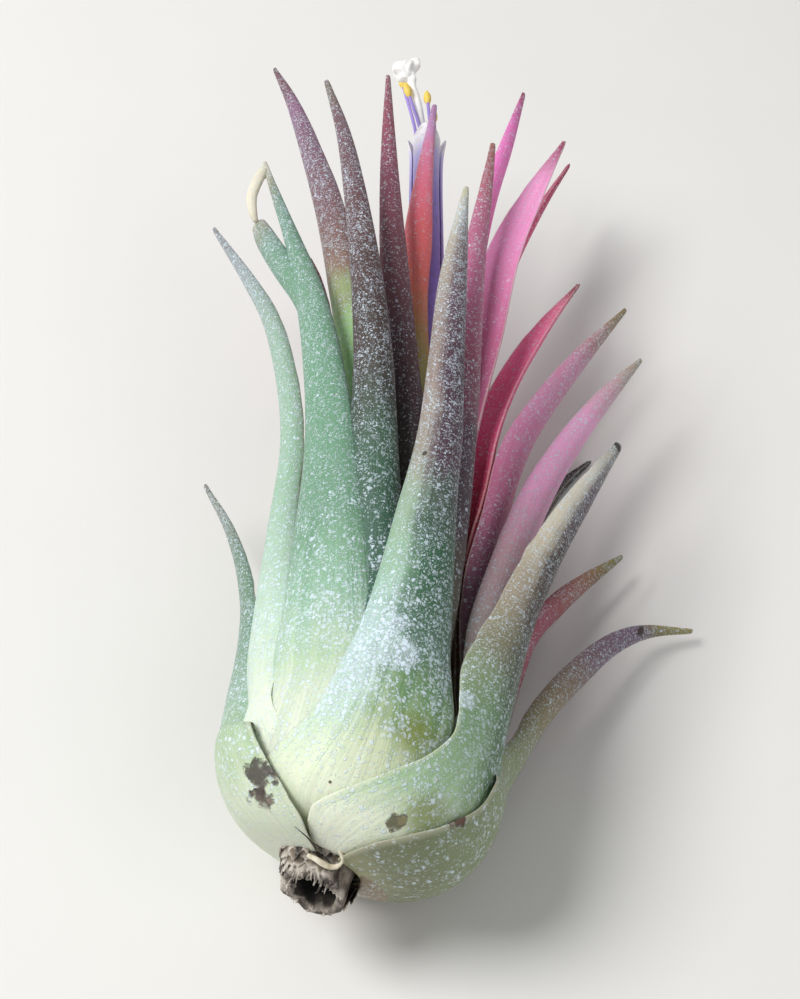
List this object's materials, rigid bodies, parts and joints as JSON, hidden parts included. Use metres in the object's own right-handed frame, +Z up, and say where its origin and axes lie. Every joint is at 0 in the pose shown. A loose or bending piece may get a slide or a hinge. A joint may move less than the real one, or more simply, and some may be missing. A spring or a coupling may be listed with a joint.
{
  "type": "air plant in flower",
  "caption": "Small bulbous air plant lying on its side, with curved channelled leaves that shade from silver green to crimson and one violet tubular flower.",
  "frame": {"origin": "middle of the flat spot under the bulb, on the surface that the plant lies on", "axes": "+Y from the dry stump towards the leaf tips, +X to the right seen from the stump, +Z up"},
  "size_m": [0.045, 0.0856, 0.0262],
  "materials": {
    "stump": "dry, dark and fibrous, with a hollow of rotted pith",
    "old_sheath": "dry torn leaf bases, grey-brown fibres",
    "papery_sheath": "thin papery dry sheath, cream",
    "leaf_green": "satin green with a silvery bloom of fine scales",
    "leaf_olive": "satin olive with sparse pale scales, browner where it is old",
    "leaf_dusky": "satin purple-brown over green with pale scales",
    "leaf_pink": "satin dusky pink with pale scales and olive tips",
    "leaf_crimson": "satin crimson with fine pale scales",
    "bract": "coral at the top and yellow-green at the foot",
    "petal": "soft violet with white tips",
    "sepal": "thin pale green",
    "pistil": "white style and stigma",
    "stamen": "violet filament with yellow pollen on the anther"
  },
  "bodies": {
    "root": {"stem": "stump", "old_sheath_collar": "old_sheath", "old_sheath_under": "old_sheath", "old_sheath_curl": "papery_sheath", "petal_1": "petal", "petal_2": "petal", "petal_3": "petal", "sepal_1": "sepal", "sepal_2": "sepal", "sepal_3": "sepal", "pistil": "pistil", "stamen_1": "stamen", "stamen_2": "stamen", "stamen_3": "stamen", "stamen_4": "stamen", "stamen_5": "stamen", "stamen_6": "stamen", "floral_bract": "bract", "outer_leaf_under": "leaf_olive", "outer_leaf_right_low": "leaf_olive", "outer_leaf_left": "leaf_green", "outer_leaf_right": "leaf_green", "outer_leaf_under_left": "leaf_green", "outer_leaf_front": "leaf_green", "outer_leaf_under_right": "leaf_olive", "middle_leaf_torn": "leaf_green", "middle_leaf_right_1": "leaf_pink", "middle_leaf_left": "leaf_green", "middle_leaf_right_2": "leaf_pink", "middle_leaf_centre": "leaf_dusky", "middle_leaf_under_left": "leaf_green", "middle_leaf_right_3": "leaf_pink", "middle_leaf_dusky": "leaf_dusky", "middle_leaf_under_right": "leaf_olive", "inner_leaf_left": "leaf_dusky", "inner_leaf_right": "leaf_crimson", "inner_leaf_small": "leaf_dusky", "inner_leaf_under": "leaf_olive", "inner_leaf_dark": "leaf_dusky", "inner_leaf_blush": "leaf_pink", "inner_leaf_blush_low": "leaf_crimson", "inner_leaf_red": "leaf_crimson", "inner_leaf_low": "leaf_olive"}
  },
  "joints": []
}
